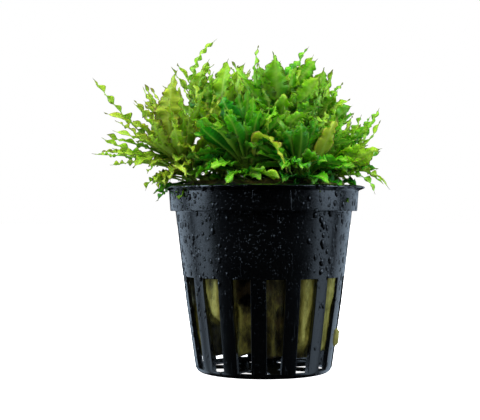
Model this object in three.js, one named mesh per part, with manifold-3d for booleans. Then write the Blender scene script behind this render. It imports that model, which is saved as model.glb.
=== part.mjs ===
// A potted downoi: crinkled rosettes rooted in a plug of mineral wool, in a small slotted net pot.
// Millimetres, +Z up. The origin is on the pot's axis, at the plane that the pot stands on,
// and azimuths run from -Y, which faces the viewer, towards +X.
import * as THREE from 'three';
import { mergeVertices } from 'three/addons/utils/BufferGeometryUtils.js';
import Module from 'manifold-3d';

const wasm = await Module();
wasm.setup();

// Pot, moulded in one piece
const FLANGE_RADIUS = 27.6;
const RIM_HEIGHT = 50.5;
const FLOOR_TOP = 1.2;
const FLOOR_UNDERSIDE = 0.6;
const FLOOR_BOSS_RADIUS = 7.2;
const SLAT_COUNT = 15;
const SLAT_WIDTH = 4.0;
const SLAT_PHASE = -4.7;
const SLOT_BOTTOM = 1.4;
const SLOT_TOP = 26;
const FLOOR_WINDOWS = 7;
const FLOOR_SPOKE = 3.8;
const FLOOR_SPOKE_PHASE = 13;
const FLOOR_WINDOW_RADII = [7.6, 16.5];
const POT_FACETS = 2 * SLAT_COUNT;

// [radius, height] up the outside, from the foot to the flange, and down the inside
const POT_OUTSIDE = [
  [0, 0], [FLOOR_BOSS_RADIUS, 0], [FLOOR_BOSS_RADIUS, FLOOR_UNDERSIDE],
  [16.8, FLOOR_UNDERSIDE], [16.8, 0], [17.5, 0], [18.7, 1.4], [21.3, 19.5], [24.1, 43.6], [25.5, 43.6],
  [25.9, 49.2], [FLANGE_RADIUS, 49.9], [26.2, RIM_HEIGHT],
];
const POT_INSIDE = [
  [25.0, RIM_HEIGHT], [24.6, 44.8], [23.1, 44.6], [20.3, 19.5], [17.4, FLOOR_TOP],
  [0, FLOOR_TOP],
];

// Mineral wool plug
const WOOL_BOTTOM = 6.2;
const WOOL_TOP = 49.2;
const WOOL_PLAY = 0.8;
const WOOL_PUSH = 0.9;
const WOOL_HOLE_PLAY = 0.35;

// Stems: a lower end planted in the wool, and a bud of folded young leaves on top
const STEM_RADIUS = 1.1;
const STEM_NECK = 0.85;
const STEM_PLANTED = 6;
const STEM_SIDES = 6;
const FACET_HEIGHT = 1.3;
const BUD_RADIUS = 1.2;
const BUD_HEIGHT = 3.6;

// Leaves
const LOOSE_LEAVES = 6;
const BEAD = 2.6;
const WAVE = 0.8;
const CHANNEL = 0.25;
const MIDRIB = 0.7;
const MIDRIB_AT_TIP = 0.4;
const LOOSE_START = STEM_RADIUS + 0.45;
const CLEARANCE = 0.2;

// How far a leaf may turn aside, rise or sink, and stay short, where another is in its way
const TURNS = [-24, -18, -12, -6, 0, 6, 12, 18, 24];
const SHARES = [1, 0.9, 0.8, 0.7, 0.6];
const SHORT_AS_TURN = 60;
const MOST_FOR_LOOSE = 60;
const MOST_FOR_FUSED = 40;
const FEET = [[0, 0], [1, 25], [1, -25], [2.2, 0], [3.2, 35], [3.2, -35]];

// Young leaves that fill each crown: turned by the golden angle, shorter and steeper inwards
const YOUNG_LEAVES = 10;
const GOLDEN_ANGLE = 137.5;
const YOUNG_LENGTHS = [17, 15];
const YOUNG_SLOPES = [-18, 72];
const YOUNG_WIDTH = 5.4;

// Share of the full width along a leaf: [place from foot to tip, share]
const BLADE_OUTLINE = [
  [0, 0.16], [0.15, 0.28], [0.35, 0.75], [0.52, 1], [0.7, 0.88], [0.85, 0.5], [0.95, 0.22], [1, 0.06],
];

// Each crown stands on a stem that leaves the wool at root and ends at head. Each of its leaves
// is [middle, tip, width, roll]: the points that its midrib passes through, and the turn of its
// face about its own length, in degrees. The largest come first.
const CROWNS = [
  {
    name: 'left', root: [-17.5, -4, WOOL_TOP], head: [-22, -5, 56.5],
    leaves: [
      [[-35, -7, 67], [-46.5, -8, 78.5], 5, 15],
      [[-33, -10, 58], [-42.5, -14, 63], 3.6, 20],
      [[-36, -3, 58.5], [-46.5, -3, 59.5], 2.4, 0],
      [[-28.5, -11, 65], [-34, -15, 71.5], 4.8, -15],
      [[-28, -2, 68], [-32.5, 1, 78], 5, 15],
      [[-25.5, -10, 68.5], [-22.5, -11, 80.5], 6.6, 0],
      [[-24.5, -12, 53.5], [-26.5, -17, 50.5], 5, 0],
      [[-28, -2, 53], [-31.5, -3, 49], 2.4, 0],
      [[-20.5, -9, 65], [-19, -12, 73.5], 4.8, -20],
      [[-28, -12, 60.5], [-35, -16, 65], 5.5, 10],
      [[-27.5, 5, 63.5], [-32, 12, 73], 5.5, 0],
      [[-24.5, -14, 62], [-27, -20, 69], 5.5, 0],
    ],
  },
  {
    name: 'centre', root: [-4, -9, WOOL_TOP], head: [-5.2, -12, 57.8],
    leaves: [
      [[-12.5, -18, 62], [-18.5, -21, 66], 7.5, 20],
      [[-10.5, -18, 65], [-14.5, -20, 70.5], 7, 15],
      [[-7, -18, 65], [-8.5, -22, 70.5], 5.5, 0],
      [[-3.5, -18, 65], [-2.5, -22, 70], 5.5, 0],
      [[-1, -20, 63.5], [5.5, -26, 55], 4.6, 0],
      [[-1, -19, 53.5], [3.5, -26, 51], 6, 0],
      [[-9.5, -20, 56], [-14.5, -24, 54.5], 5, 0],
      [[-7, -20, 53.5], [-11, -25, 51], 5, 0],
      [[0, -18, 57], [5, -20, 57], 5.5, 0],
      [[-2.5, -14, 62.5], [1, -16, 69], 5.5, -20],
      [[-5.5, -9, 66.5], [-6.5, -6, 75.5], 5.5, 20],
      [[-11, -12, 57.5], [-17.5, -12, 57.5], 5.5, 20],
      [[-13, -15, 55], [-18, -18, 52], 5, 0],
    ],
  },
  {
    name: 'front_right', root: [8.5, -12, WOOL_TOP], head: [9.5, -14, 54.1],
    leaves: [
      [[15, -18, 60], [18.5, -22, 67], 5.5, -25],
      [[6, -18, 62], [3.5, -21, 67.5], 5.2, 10],
      [[9, -20, 62], [8.5, -24, 67], 5, 0],
      [[15.5, -18, 55.5], [21.5, -20, 53.5], 5.5, -20],
      [[12.5, -21, 52.5], [16, -26, 50.5], 5, 0],
      [[6, -20, 52.5], [2.5, -25, 50.5], 5, 0],
      [[16.5, -13, 59.5], [21, -15, 65], 5.5, -20],
      [[11.5, -17, 62], [13, -19, 67.5], 5, -10],
      [[8, -18, 64], [16, -20, 66.5], 4.6, 0],
    ],
  },
  {
    name: 'right', root: [15.5, -2, WOOL_TOP], head: [17.1, -3, 55],
    leaves: [
      [[23.5, -8, 57], [31, -10, 60.5], 6.5, -40],
      [[26.5, -5, 54.5], [34, -5, 49.5], 2.4, 0],
      [[26, 0, 63.5], [31.5, 1, 72], 3.4, 20],
      [[25, -5, 59.5], [31, -6, 68], 3.4, -10],
      [[21.5, -8, 53.5], [25, -10, 52], 5, 0],
      [[21.5, 3, 61.5], [25.5, 5, 66], 5.5, -20],
      [[23, 6, 59], [28, 12, 63], 5.5, 0],
      [[19, 2, 63.5], [21, 5, 73], 5.5, -20],
    ],
  },
  {
    name: 'middle', root: [4, -2, WOOL_TOP], head: [3.5, -4, 65],
    leaves: [
      [[-0.5, -10, 70], [-5, -16, 68.5], 4.4, 0],
      [[2, -14, 68.5], [0.5, -19, 64], 4.2, 0],
      [[4.5, -11, 70.5], [6.5, -14, 73], 4.6, 0],
      [[6.5, -8, 71], [9, -11, 73.5], 4, 0],
      [[-2, -3, 76], [-2, -2, 88.5], 6.4, 40],
      [[1, 1, 76.5], [4.5, 2, 85], 5.2, 30],
      [[6, -2, 78], [12.5, -1, 88], 5.6, 40],
      [[9, -8, 68.5], [14.5, -9, 71], 5, -20],
      [[-1, -7, 73], [-4, -9, 81], 5.5, 30],
      [[4, -5, 76], [6, -6, 84], 5.5, -30],
      [[8, -5, 73], [13, -6, 80], 5.5, -30],
      [[-4, -4, 72], [-9, -4, 79], 5.5, 20],
      [[9, -9, 58], [14, -12, 56], 5.5, 0],
      [[-1, -9, 58], [-5, -13, 55], 5.5, 0],
      [[10, 1, 58], [17, 3, 55], 5.5, 0],
      [[-3, 1, 58], [-9, 1, 55], 5.5, 0],
      [[4, 4, 58], [5, 10, 55], 5.5, 0],
    ],
  },
  {
    name: 'back_left', root: [-10, 6, WOOL_TOP], head: [-12, 7, 59],
    leaves: [
      [[-20, 6, 78], [-12.5, 5, 91], 3.8, 40],
      [[-17, 3, 75], [-14, 2, 86], 5, 30],
      [[-11.5, 6, 73], [-9.5, 7, 86.5], 7, 40],
      [[-16, 0, 70.5], [-17.5, 1, 80], 5, 20],
      [[-18, 14, 67], [-24.5, 20, 74.5], 5.5, 0],
      [[-15, 16, 68.5], [-18, 22, 77.5], 5.5, 0],
      [[-15.5, -2, 64.5], [-19.5, -6, 70], 6, 10],
      [[-9, 9, 73], [-5.5, 10, 84.5], 6, 30],
      [[-14, 9, 71], [-15, 12, 82], 5.5, 30],
      [[-17, 13, 56], [-22, 18, 53.5], 5.5, 0],
      [[-19, 6, 57], [-27, 7, 55], 5.5, 0],
    ],
  },
  {
    name: 'back_right', root: [9, 8, WOOL_TOP], head: [10.5, 9, 60],
    leaves: [
      [[11, 7, 75], [14, 8, 87.5], 6.6, 40],
      [[12.5, 3, 71], [15.5, 2, 82], 4.8, 20],
      [[16.5, 10, 70], [23, 13, 80.5], 7, 40],
      [[18.5, 5, 67.5], [25, 6, 72.5], 5.6, -20],
      [[20, 12, 66], [26, 17, 70], 5.6, 0],
      [[14, 18, 70], [16.5, 26, 79], 6, 0],
      [[8, 14, 72.5], [6.5, 20, 83], 6, 20],
      [[10, 10, 74], [9, 13, 85], 6, -30],
      [[15, 7, 70], [20, 8, 78], 5.5, -30],
      [[16, 14, 56], [22, 18, 53.5], 5.5, 0],
      [[18, 6, 57], [26, 5, 55], 5.5, 0],
    ],
  },
  {
    name: 'back', root: [-2, 15, WOOL_TOP], head: [-2.5, 17, 57],
    leaves: [
      [[-3.5, 18, 71.5], [-4.5, 20, 84], 6, 20],
      [[1.5, 18, 71.5], [3, 20, 84], 6, -20],
      [[-8, 25, 67.5], [-12, 33, 77], 6, 0],
      [[-2.5, 27, 64.5], [-2, 38, 72], 6, 0],
      [[4, 25, 67], [8.5, 34, 75], 6, 0],
      [[-11, 22, 60], [-18.5, 28, 62], 5.5, 0],
      [[7, 24, 60], [14.5, 32, 60.5], 5.5, 0],
      [[-1, 20, 72], [-1, 23, 83], 6, 0],
      [[-6, 20, 70], [-10, 24, 80], 6, 10],
      [[3, 21, 70], [8, 25, 80], 6, -10],
      [[-9, 22, 55], [-14, 26, 53], 5.5, 0],
      [[4, 22, 55], [9, 27, 53], 5.5, 0],
      [[-2.5, 26, 55], [-3, 32, 53], 5.5, 0],
    ],
  },
];

const radians = THREE.MathUtils.degToRad;

// The value at x of a line through [x, y] points, which are in order of x
function along(points, x) {
  const next = Math.max(1, points.findIndex(([px]) => px >= x));
  const [x0, y0] = points[next - 1];
  const [x1, y1] = points[next];
  return y0 + (y1 - y0) * THREE.MathUtils.clamp((x - x0) / (x1 - x0), 0, 1);
}

// The corners of a geometry, each once, and its faces as triples of their numbers
function facesOf(geometry) {
  const bare = new THREE.BufferGeometry();
  bare.setAttribute('position', geometry.getAttribute('position'));
  bare.setIndex(geometry.index);
  const merged = mergeVertices(bare, 1e-4);
  const place = merged.getAttribute('position');
  const cornerAt = (_, i) => new THREE.Vector3().fromBufferAttribute(place, i);
  const corners = Array.from({ length: place.count }, cornerAt);
  const faces = [];
  for (let i = 0; i < merged.index.count; i += 3) {
    const face = [0, 1, 2].map((k) => merged.index.getX(i + k));
    if (new Set(face).size === 3) faces.push(face);
  }
  return { corners, faces };
}

// A closed geometry as a solid for joining and cutting
function toSolid(geometry) {
  const { corners, faces } = facesOf(geometry);
  return new wasm.Manifold(new wasm.Mesh({
    numProp: 3,
    vertProperties: Float32Array.from(corners.flatMap((corner) => corner.toArray())),
    triVerts: Uint32Array.from(faces.flat()),
  }));
}

function toGeometry(solid) {
  const { vertProperties, triVerts } = solid.getMesh();
  const geometry = new THREE.BufferGeometry();
  geometry.setAttribute('position', new THREE.BufferAttribute(vertProperties, 3));
  geometry.setIndex(new THREE.BufferAttribute(triVerts, 1));
  return geometry;
}

// A [radius, height] outline turned about the Z axis, with a corner at the azimuth given
function turned(outline, sides, azimuth = 0) {
  const points = outline.map(([radius, height]) => new THREE.Vector2(radius, height));
  return new THREE.LatheGeometry(points, sides, radians(azimuth)).rotateX(Math.PI / 2);
}

// A flat-ended ring cut into windows by straight bars that run out from the axis
function windows({ radii, heights, count, bar, phase }) {
  const [inner, outer] = radii;
  const [low, high] = heights;
  const section = [[inner, low], [outer, low], [outer, high], [inner, high], [inner, low]];
  let ring = toSolid(turned(section, POT_FACETS, phase));
  for (let i = 0; i < count; i += 1) {
    const beam = new THREE.BoxGeometry(bar, outer, 2 * (high - low))
      .translate(0, -outer / 2 - inner / 2, (low + high) / 2)
      .rotateZ(radians(phase + (360 * i) / count));
    ring = ring.subtract(toSolid(beam));
  }
  return ring;
}

function makePot() {
  const facetTurn = SLAT_PHASE + 180 / POT_FACETS;
  const shell = toSolid(turned([...POT_OUTSIDE, ...POT_INSIDE], POT_FACETS, facetTurn));
  const slots = windows({
    radii: [16.5, 2 * FLANGE_RADIUS], heights: [SLOT_BOTTOM, SLOT_TOP],
    count: SLAT_COUNT, bar: SLAT_WIDTH, phase: SLAT_PHASE,
  });
  const openings = windows({
    radii: FLOOR_WINDOW_RADII, heights: [-FLOOR_TOP, 2 * FLOOR_TOP],
    count: FLOOR_WINDOWS, bar: FLOOR_SPOKE, phase: FLOOR_SPOKE_PHASE,
  });
  return toGeometry(shell.subtract(slots).subtract(openings));
}

// Inner radius of the pot at a height
function potInnerRadius(height) {
  const byHeight = POT_INSIDE.map(([radius, z]) => [z, radius]).reverse();
  return along(byHeight, height);
}

// How far the wool is pressed out between the slats: 1 in a slot's middle, 0 behind a slat
function slotPush(azimuth, height) {
  const turn = (((azimuth - SLAT_PHASE) * SLAT_COUNT) / 360) % 1;
  const inSlot = Math.abs(((turn + 1) % 1) - 0.5) < 0.2;
  return inSlot && height > WOOL_BOTTOM && height < SLOT_TOP - 2 ? 1 : 0;
}

// The plug is turned to fill the pot, pressed out into the slots, and left slack and folded
// where the photo shows it drawn back.
function makeWool(stemHoles) {
  const heights = [WOOL_BOTTOM + 0.8, 12, 22, 26, 44, WOOL_TOP - 0.6];
  const side = heights.map((z) => [potInnerRadius(z) - WOOL_PLAY, z]);
  const outline = [
    [0, WOOL_BOTTOM], [16.5, WOOL_BOTTOM], ...side, [22, WOOL_TOP], [0, WOOL_TOP],
  ];
  const facetTurn = SLAT_PHASE + 180 / POT_FACETS;
  const plug = turned(outline, POT_FACETS, facetTurn);
  const place = plug.getAttribute('position');
  for (let i = 0; i < place.count; i += 1) {
    const [x, y, z] = [place.getX(i), place.getY(i), place.getZ(i)];
    const radius = Math.hypot(x, y);
    if (radius < 1) continue;
    const azimuth = THREE.MathUtils.radToDeg(Math.atan2(x, -y));
    const onSide = radius > 16 && z < WOOL_TOP - 0.1 && z > WOOL_BOTTOM + 0.1;
    const folds = 0.3 * Math.sin(radians(azimuth * 5 + z * 4)) - 0.3;
    const frontDent = -4 * Math.exp(-(((azimuth + 52) / 12) ** 2) - ((z - 9) / 6) ** 2);
    const sideTuft = Math.exp(-(((azimuth - 79.3) / 3) ** 2) - ((z - 11) / 2) ** 2);
    const slack = z < WOOL_TOP - 2 ? folds + frontDent : 0;
    const push = onSide ? WOOL_PUSH * slotPush(azimuth, z) + 0.5 * sideTuft : 0;
    const stretch = (radius + slack + push) / radius;
    const uneven = 0.35 * Math.sin(0.5 * x + 1) * Math.cos(0.4 * y) * (onSide ? 0 : 1);
    place.setXYZ(i, x * stretch, y * stretch, z + uneven);
  }
  return toGeometry(stemHoles.reduce((wool, hole) => wool.subtract(hole), toSolid(plug)));
}

const UP = new THREE.Vector3(0, 0, 1);
const point = (xyz) => new THREE.Vector3(...xyz);
const leanOf = (crown) => point(crown.head).sub(point(crown.root));

// A turned piece that stands at the crown's root and leans as its stem does
function placedOnRoot(outline, crown) {
  const lean = new THREE.Quaternion().setFromUnitVectors(UP, leanOf(crown).normalize());
  return turned(outline, STEM_SIDES).applyQuaternion(lean).translate(...crown.root);
}

function makeStemHole(crown) {
  const radius = STEM_RADIUS + WOOL_HOLE_PLAY;
  const bottom = -STEM_PLANTED - WOOL_HOLE_PLAY;
  const outline = [[0, bottom], [0.8 * radius, bottom], [radius, 0], [radius, 4], [0, 4]];
  return toSolid(placedOnRoot(outline, crown));
}

// A shoot starts as a bare stem. Its facets above the wool are where small leaves can grow from.
function makeStem(crown) {
  const height = leanOf(crown).length();
  const storeys = Math.round(height / FACET_HEIGHT);
  const shaft = Array.from({ length: storeys + 1 }, (_, i) => [
    THREE.MathUtils.lerp(STEM_RADIUS, STEM_NECK, i / storeys), (height * i) / storeys,
  ]);
  const outline = [
    [0, -STEM_PLANTED], [0.7 * STEM_RADIUS, -STEM_PLANTED], ...shaft,
    [BUD_RADIUS, height + 0.35 * BUD_HEIGHT], [0.6 * BUD_RADIUS, height + 0.75 * BUD_HEIGHT],
    [0, height + BUD_HEIGHT],
  ];
  const { corners, faces } = facesOf(placedOnRoot(outline, crown));
  const facets = faces.map((face) => {
    const edge = face.map((corner) => corners[corner]);
    const triangle = new THREE.Triangle(...edge);
    const centre = triangle.getMidpoint(new THREE.Vector3());
    return { face, edge, centre, outward: triangle.getNormal(new THREE.Vector3()) };
  });
  const free = facets.filter(({ centre }) => centre.z > crown.root[2] + 0.8);
  return { corners, faces, free };
}

function geometryOf({ corners, faces }) {
  return new THREE.BufferGeometry().setFromPoints(corners).setIndex(faces.flat());
}

// Where a leaf wants to leave its stem: older leaves, which lie flatter, lower down
function nodeFor(crown, tip, [step, turn]) {
  const head = point(crown.head);
  const reach = tip.clone().sub(head);
  const out = new THREE.Vector3(reach.x, reach.y, 0).normalize().applyAxisAngle(UP, radians(turn));
  const rise = Math.atan2(reach.z, Math.hypot(reach.x, reach.y));
  const drop = THREE.MathUtils.mapLinear(rise, -0.4, 1.3, 2.6, -0.2);
  const extra = 8 * Math.max(0, -rise) ** 2;
  const centre = head.addScaledVector(leanOf(crown).normalize(), -drop - extra - step);
  return { centre, out };
}

// The foot of a loose leaf stands just clear of the stem. A fused one has a facet for its foot.
function looseFoot({ centre, out }) {
  return { foot: centre.clone().addScaledVector(out, LOOSE_START) };
}

function fusedFoot({ centre, out }, stem) {
  const fits = ({ centre: place, outward }) => outward.dot(out) - 0.4 * Math.abs(place.z - centre.z);
  const facet = stem.free.reduce((best, each) => (fits(each) > fits(best) ? each : best));
  return { foot: facet.centre, facet };
}

// A leaf is a string of rings, one to each bead of its crinkled edge. A ring has three corners:
// left edge, right edge and the underside of the midrib.
function leafRings(foot, middle, tip, { width, roll, thicker = 0 }) {
  const chord = tip.clone().sub(foot);
  const bend = middle.clone().multiplyScalar(2).addScaledVector(foot, -0.5).addScaledVector(tip, -0.5);
  const line = new THREE.QuadraticBezierCurve3(foot, bend, tip);
  const side = new THREE.Vector3(-chord.y, chord.x, 0).normalize();
  const count = Math.max(4, Math.round(line.getLength() / BEAD));
  return Array.from({ length: count }, (_, i) => {
    const place = (i + 0.35) / count;
    const tangent = line.getTangent(place);
    const across = side.clone().addScaledVector(tangent, -side.dot(tangent)).normalize()
      .applyAxisAngle(tangent, radians(roll * Math.min(1, 2 * place)));
    const normal = tangent.clone().cross(across);
    const half = 0.5 * (width * along(BLADE_OUTLINE, place) + thicker);
    const crinkle = WAVE * THREE.MathUtils.smoothstep(place, 0.12, 0.45) * (1 - 0.5 * place ** 4);
    const wave = (i % 2 ? 1 : -1) * crinkle * Math.min(1, half);
    const rib = MIDRIB + (MIDRIB_AT_TIP - MIDRIB) * place + thicker;
    const lift = CHANNEL * half + 0.5 * thicker;
    const corner = (sideways, upwards) => line.getPoint(place)
      .addScaledVector(across, sideways).addScaledVector(normal, upwards);
    return [corner(half, lift + wave), corner(-half, lift - wave), corner(0, -rib)];
  });
}

// Faces between two rings of three corners, which are given by the corners' numbers. The wave
// lifts one edge as it sinks the other, and each diagonal is the one that keeps the leaf thick.
function sleeve(lower, upper, leftIsLow) {
  return [0, 1, 2].flatMap((j) => {
    const next = (j + 1) % 3;
    return leftIsLow
      ? [[lower[j], lower[next], upper[j]], [lower[next], upper[next], upper[j]]]
      : [[lower[j], lower[next], upper[next]], [lower[j], upper[next], upper[j]]];
  });
}

// Rings and a tip on top of the ring that is numbered base, added to corners and faces
function addLeaf({ corners, faces }, base, rings, tip) {
  let lower = base;
  rings.forEach((ring, i) => {
    const upper = ring.map((_, j) => corners.length + j);
    corners.push(...ring);
    if (lower) faces.push(...sleeve(lower, upper, i % 2 === 1));
    lower = upper;
  });
  faces.push(...[0, 1, 2].map((j) => [lower[j], lower[(j + 1) % 3], corners.length]));
  corners.push(tip);
}

// The three turns of a triangle that keep its facing, the one nearest to the ring first
function turnsTowards(ring, triangle, place = (corner) => corner) {
  const turns = [0, 1, 2].map((k) => [0, 1, 2].map((j) => triangle[(j + k) % 3]));
  const strain = (turn) => turn.reduce((sum, corner, j) => sum + place(corner).distanceTo(ring[j]), 0);
  return turns.sort((a, b) => strain(a) - strain(b));
}

// A leaf on its own: closed at its foot by a point, or by the facet that it will grow from
function leafGeometry({ foot, facet }, rings, tip) {
  const leaf = { corners: [foot], faces: [[0, 2, 1], [0, 3, 2], [0, 1, 3]] };
  if (facet) {
    [leaf.corners] = turnsTowards(rings[0], facet.edge);
    leaf.faces = [[0, 2, 1]];
  }
  addLeaf(leaf, facet ? [0, 1, 2] : null, rings, tip);
  return geometryOf(leaf);
}

// The facet gives way to the leaf, whose first ring is turned to meet it without a twist
function fuseLeaf(stem, facet, rings, tip) {
  stem.free.splice(stem.free.indexOf(facet), 1);
  stem.faces.splice(stem.faces.indexOf(facet.face), 1);
  const [base] = turnsTowards(rings[0], facet.face, (corner) => stem.corners[corner]);
  addLeaf(stem, base, rings, tip);
}

function isClear(one, other) {
  const [a, b] = [one.boundingBox(), other.boundingBox()];
  const apart = [0, 1, 2].some((k) => a.max[k] < b.min[k] || b.max[k] < a.min[k]);
  return apart || one.intersect(other).isEmpty();
}

// Every way of growing past a neighbour, with the smallest change first
const change = ({ swing, rise, share }) => Math.abs(swing) + Math.abs(rise) + SHORT_AS_TURN * (1 - share);
const WAYS = SHARES
  .flatMap((share) => TURNS.flatMap((swing) => TURNS.map((rise) => ({ share, swing, rise }))))
  .sort((a, b) => change(a) - change(b));

// A leaf grows the way that changes it least, clear of its neighbours, or not at all.
// The neighbour that was in the way last is tried first.
function grow(crown, [middle, tip, width, roll], { most, neighbours, footAt }) {
  const head = point(crown.head);
  const order = [...neighbours];
  const side = new THREE.Vector3(tip[1] - head.y, head.x - tip[0], 0).normalize();
  for (const way of WAYS.filter((each) => change(each) <= most)) {
    const { swing, rise, share } = way;
    const moved = (xyz) => point(xyz).sub(head).multiplyScalar(share)
      .applyAxisAngle(side, radians(rise)).applyAxisAngle(UP, radians(swing)).add(head);
    const [via, end] = [moved(middle), moved(tip)];
    const form = { width: width * (0.5 + 0.5 * share), roll };
    for (const choice of FEET) {
      const start = footAt(nodeFor(crown, end, choice));
      const rings = leafRings(start.foot, via, end, form);
      const wider = leafRings(start.foot, via, end, { ...form, thicker: CLEARANCE });
      const clear = [wider, rings].every((shape) => {
        const solid = toSolid(leafGeometry(start, shape, end));
        const blocker = order.findIndex((other) => !isClear(solid, other));
        if (blocker >= 0) order.unshift(...order.splice(blocker, 1));
        return blocker < 0;
      });
      if (clear) return { start, rings, tip: end };
    }
  }
  return null;
}

// Rows for the young leaves of a crown, in the same form as in CROWNS
function youngLeaves(crown, number) {
  const head = point(crown.head);
  return Array.from({ length: YOUNG_LEAVES }, (_, i) => {
    const inward = i / (YOUNG_LEAVES - 1);
    const azimuth = radians(GOLDEN_ANGLE * (i + 3 * number));
    const slope = radians(THREE.MathUtils.lerp(...YOUNG_SLOPES, inward));
    const length = THREE.MathUtils.lerp(...YOUNG_LENGTHS, inward);
    const out = new THREE.Vector3(Math.cos(azimuth), Math.sin(azimuth), 0);
    const tip = head.clone().addScaledVector(out, length * Math.cos(slope));
    tip.z += length * Math.sin(slope);
    const middle = head.clone().lerp(tip, 0.55);
    middle.z += 0.1 * length * Math.cos(slope);
    return [middle.toArray(), tip.toArray(), YOUNG_WIDTH, 0];
  });
}

const black = new THREE.MeshStandardMaterial({ color: 0x101216, roughness: 0.3 });
const olive = new THREE.MeshStandardMaterial({ color: 0x5d5a2c, roughness: 0.95 });
const paleGreen = new THREE.MeshStandardMaterial({ color: 0x8fae55, roughness: 0.6 });
const leafGreen = new THREE.MeshStandardMaterial({ color: 0x4f9016, roughness: 0.5 });

const part = new THREE.Group();

function add(name, geometry, material) {
  const mesh = new THREE.Mesh(geometry, material);
  mesh.name = name;
  part.add(mesh);
}

const pot = makePot();
const wool = makeWool(CROWNS.map(makeStemHole));
add('pot', pot, black);
add('rockwool_plug', wool, olive);

const stems = new Map(CROWNS.map((crown) => [crown, makeStem(crown)]));
const shootSolids = new Map(CROWNS.map((crown) => [crown, toSolid(geometryOf(stems.get(crown)))]));
const placed = [toSolid(pot), toSolid(wool)];

// The largest leaves are pieces of their own
for (const crown of CROWNS) {
  crown.leaves.slice(0, LOOSE_LEAVES).forEach((row, i) => {
    const neighbours = [...placed, ...shootSolids.values()];
    const { start, rings, tip } = grow(crown, row, { most: MOST_FOR_LOOSE, neighbours, footAt: looseFoot });
    const geometry = leafGeometry(start, rings, tip);
    add(`leaf_${crown.name}_${i + 1}`, geometry, leafGreen);
    placed.push(toSolid(geometry));
  });
}

// The smaller ones are one piece with the stem that they grow from
CROWNS.forEach((crown, number) => {
  const stem = stems.get(crown);
  const others = CROWNS.filter((each) => each !== crown).map((each) => shootSolids.get(each));
  const fused = [];
  for (const row of [...crown.leaves.slice(LOOSE_LEAVES), ...youngLeaves(crown, number)]) {
    const neighbours = [...placed, ...others, ...fused];
    const footAt = (node) => fusedFoot(node, stem);
    const leaf = grow(crown, row, { most: MOST_FOR_FUSED, neighbours, footAt });
    if (leaf) {
      fused.push(toSolid(leafGeometry(leaf.start, leaf.rings, leaf.tip)));
      fuseLeaf(stem, leaf.start.facet, leaf.rings, leaf.tip);
    }
  }
  const shoot = geometryOf(stem);
  shootSolids.set(crown, toSolid(shoot));
  add(`shoot_${crown.name}`, shoot, paleGreen);
});

export default part;
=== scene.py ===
# %% [markdown]
# A potted downoi in its net pot.
# The plant is eight rosettes of crinkled leaves, rooted in a plug of mineral wool, in a black
# slotted pot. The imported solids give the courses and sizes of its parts. Each step below takes a
# few of them and puts a fine surface in their place.

# %% The frame
import itertools
import math
import random

import bpy
import numpy as np
from mathutils import Matrix, Vector, noise
from mathutils.bvhtree import BVHTree


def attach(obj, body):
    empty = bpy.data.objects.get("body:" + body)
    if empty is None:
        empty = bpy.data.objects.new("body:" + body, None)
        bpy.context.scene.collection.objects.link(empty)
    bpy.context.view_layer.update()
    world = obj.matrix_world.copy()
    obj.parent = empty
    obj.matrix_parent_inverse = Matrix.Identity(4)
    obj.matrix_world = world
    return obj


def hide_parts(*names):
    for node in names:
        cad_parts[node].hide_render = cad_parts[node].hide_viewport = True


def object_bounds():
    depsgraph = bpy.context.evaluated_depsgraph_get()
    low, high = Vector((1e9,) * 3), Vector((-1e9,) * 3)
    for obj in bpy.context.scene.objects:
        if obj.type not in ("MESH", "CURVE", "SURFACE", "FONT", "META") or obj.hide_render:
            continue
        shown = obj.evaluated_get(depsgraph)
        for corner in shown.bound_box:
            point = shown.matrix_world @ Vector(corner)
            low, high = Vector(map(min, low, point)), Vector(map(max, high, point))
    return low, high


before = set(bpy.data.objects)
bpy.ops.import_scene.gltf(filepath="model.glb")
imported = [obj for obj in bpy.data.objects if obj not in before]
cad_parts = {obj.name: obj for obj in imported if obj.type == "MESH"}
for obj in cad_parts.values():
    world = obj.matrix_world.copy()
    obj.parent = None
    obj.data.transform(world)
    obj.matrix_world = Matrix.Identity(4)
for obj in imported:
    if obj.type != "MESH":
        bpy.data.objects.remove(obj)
solid_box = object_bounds()
MM = 0.001
chance = random.Random(7)
lowest, highest = ([round(c / MM, 1) for c in corner] for corner in solid_box)
print("solids from", lowest, "to", highest)

# %% [markdown]
# The camera. The pot's outline gives the place that the photograph was taken from: 310 mm away
# and 44 mm above the table, a little below the rim, looking level. A camera this near makes the
# front of the rim look larger than its back, so its distance matters more than its lens, which
# only crops.

# %% Camera
CAMERA_PLACE = (-6.47 * MM, -310 * MM, 43.87 * MM)
FOCAL_PIXELS = 1131.5
PICTURE_WIDTH = 480
SENSOR_WIDTH = 36

camera_data = bpy.data.cameras.new("camera")
camera_data.sensor_width = SENSOR_WIDTH
camera_data.lens = SENSOR_WIDTH * FOCAL_PIXELS / PICTURE_WIDTH
camera_data.clip_start = 10 * MM
camera = bpy.data.objects.new("camera", camera_data)
camera.location = CAMERA_PLACE
camera.rotation_euler = (math.pi / 2, 0, 0)
bpy.context.scene.collection.objects.link(camera)
bpy.context.scene.camera = camera
print("lens", round(camera_data.lens, 1), "mm")

# %% [markdown]
# Finishes are written as sums. A shader in Blender is a web of nodes, which is hard to read as
# code. Here one small class stands for a socket, so that `1 - mask * 0.5` adds the Math nodes
# by itself. Every other node comes from `node`, which sets its settings before its sockets.

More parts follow.
